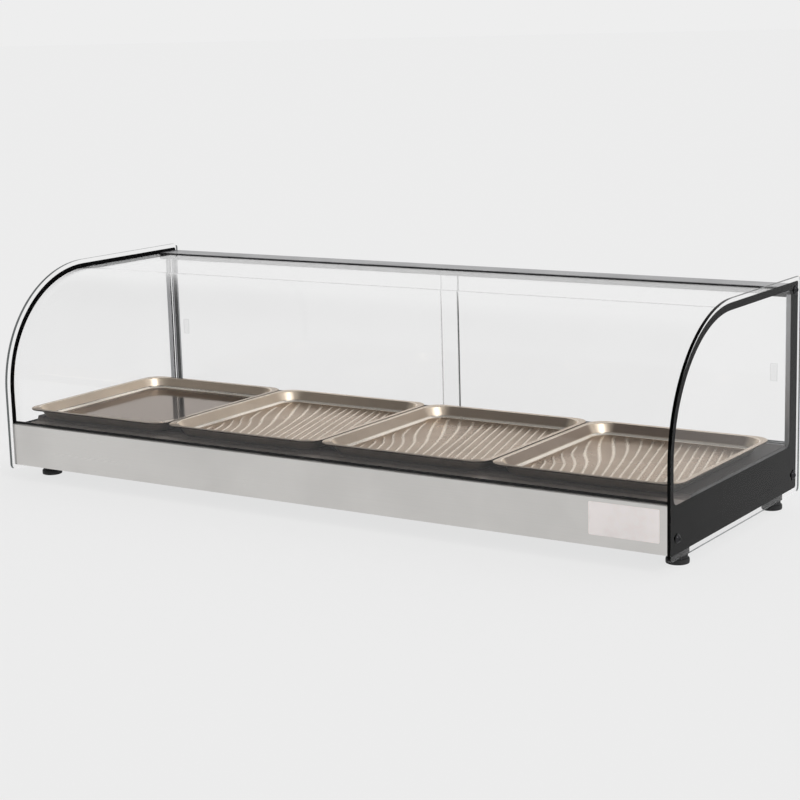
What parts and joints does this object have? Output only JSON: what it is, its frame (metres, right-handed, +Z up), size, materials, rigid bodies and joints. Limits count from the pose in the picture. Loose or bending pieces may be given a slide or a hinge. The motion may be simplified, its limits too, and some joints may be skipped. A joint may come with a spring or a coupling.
{
  "type": "heated counter display case",
  "caption": "Low heated counter display case with a bent glass front, printed glass sides, shallow lift-out trays on a warm deck, and sliding glass doors behind.",
  "frame": {"origin": "on the table, under the middle of the case", "axes": "+X to the right as the customer sees the front, +Y to the rear, +Z up"},
  "size_m": [0.9148, 0.34, 0.263],
  "materials": {
    "clear_glass": "polished",
    "black_print": "gloss",
    "brushed_panel": "brushed",
    "galvanised": "satin",
    "black_enamel": "gloss",
    "aluminium_track": "satin",
    "black_plastic": "matte",
    "white_plastic": "matte",
    "black_rubber": "matte",
    "anodised_tray": "satin",
    "heater_sheath": "satin",
    "copper_tube": "satin",
    "insulation_wool": "matte",
    "amber_lens": "gloss",
    "red_rocker": "gloss",
    "wire_sleeve": "satin",
    "steel_fastener": "polished",
    "zinc_fastener": "satin",
    "label_film": "satin",
    "clear_plastic": "gloss"
  },
  "bodies": {
    "cabinet": {"side_pane_left": "clear_glass", "side_pane_right": "clear_glass", "border_left": "black_print", "border_right": "black_print", "front_panel": "brushed_panel", "base_pan": "galvanised", "deck": "black_enamel", "end_plate_left": "galvanised", "end_plate_right": "galvanised", "rear_panel": "brushed_panel", "lower_track": "aluminium_track", "upper_track": "aluminium_track", "jamb_left": "aluminium_track", "jamb_right": "aluminium_track", "rail_block_left": "black_plastic", "rail_block_right": "black_plastic", "door_buffers": "black_rubber", "top_rail": "brushed_panel", "glass_shelf": "brushed_panel", "seal_top": "black_rubber", "seal_bottom": "black_rubber", "front_glass": "clear_glass", "heater_left": "heater_sheath", "heater_right": "heater_sheath", "heater_straps": "galvanised", "heat_shield": "galvanised", "insulation": "insulation_wool", "thermostat_body": "black_plastic", "thermostat_screws": "zinc_fastener", "thermostat_bulb": "copper_tube", "switch_body": "black_plastic", "lamp_body": "black_plastic", "lamp_lens": "amber_lens", "cable_gland": "black_plastic", "gland_nut": "black_plastic", "terminal_block": "white_plastic", "wiring": "wire_sleeve", "pane_screws": "steel_fastener", "pane_washers": "black_rubber", "foot_front_left": "black_rubber", "foot_rear_left": "black_rubber", "foot_front_right": "black_rubber", "foot_rear_right": "black_rubber", "foot_screws": "zinc_fastener", "foot_nuts": "zinc_fastener", "blank_label": "label_film"},
    "door_left": {"door_left": "clear_glass", "door_shoes_left": "black_plastic", "door_pull_left": "clear_plastic"},
    "door_right": {"door_right": "clear_glass", "door_shoes_right": "black_plastic", "door_pull_right": "clear_plastic"},
    "tray_1": {"tray_1": "anodised_tray"},
    "tray_2": {"tray_2": "anodised_tray"},
    "tray_3": {"tray_3": "anodised_tray"},
    "tray_4": {"tray_4": "anodised_tray"},
    "knob": {"thermostat_knob": "black_plastic", "thermostat_shaft": "zinc_fastener"},
    "rocker": {"rocker": "red_rocker"}
  },
  "joints": [
    {"name": "door_left_slide", "type": "slide", "parent": "cabinet", "child": "door_left", "axis": [1, 0, 0], "range_m": [0, 0.4297]},
    {"name": "door_right_slide", "type": "slide", "parent": "cabinet", "child": "door_right", "axis": [-1, 0, 0], "range_m": [0, 0.4297]},
    {"name": "tray_1_lift", "type": "slide", "parent": "cabinet", "child": "tray_1", "axis": [0, 0, 1], "range_m": [0, 0.06]},
    {"name": "tray_2_lift", "type": "slide", "parent": "cabinet", "child": "tray_2", "axis": [0, 0, 1], "range_m": [0, 0.06]},
    {"name": "tray_3_lift", "type": "slide", "parent": "cabinet", "child": "tray_3", "axis": [0, 0, 1], "range_m": [0, 0.06]},
    {"name": "tray_4_lift", "type": "slide", "parent": "cabinet", "child": "tray_4", "axis": [0, 0, 1], "range_m": [0, 0.06]},
    {"name": "knob_turn", "type": "hinge", "parent": "cabinet", "child": "knob", "pos_m": [0.15, 0.1452, 0.0426], "axis": [0, -1, 0], "range_deg": [0, 270]},
    {"name": "rocker_tilt", "type": "hinge", "parent": "cabinet", "child": "rocker", "pos_m": [0.26, 0.1432, 0.0426], "axis": [1, 0, 0], "range_deg": [0, 16]}
  ]
}
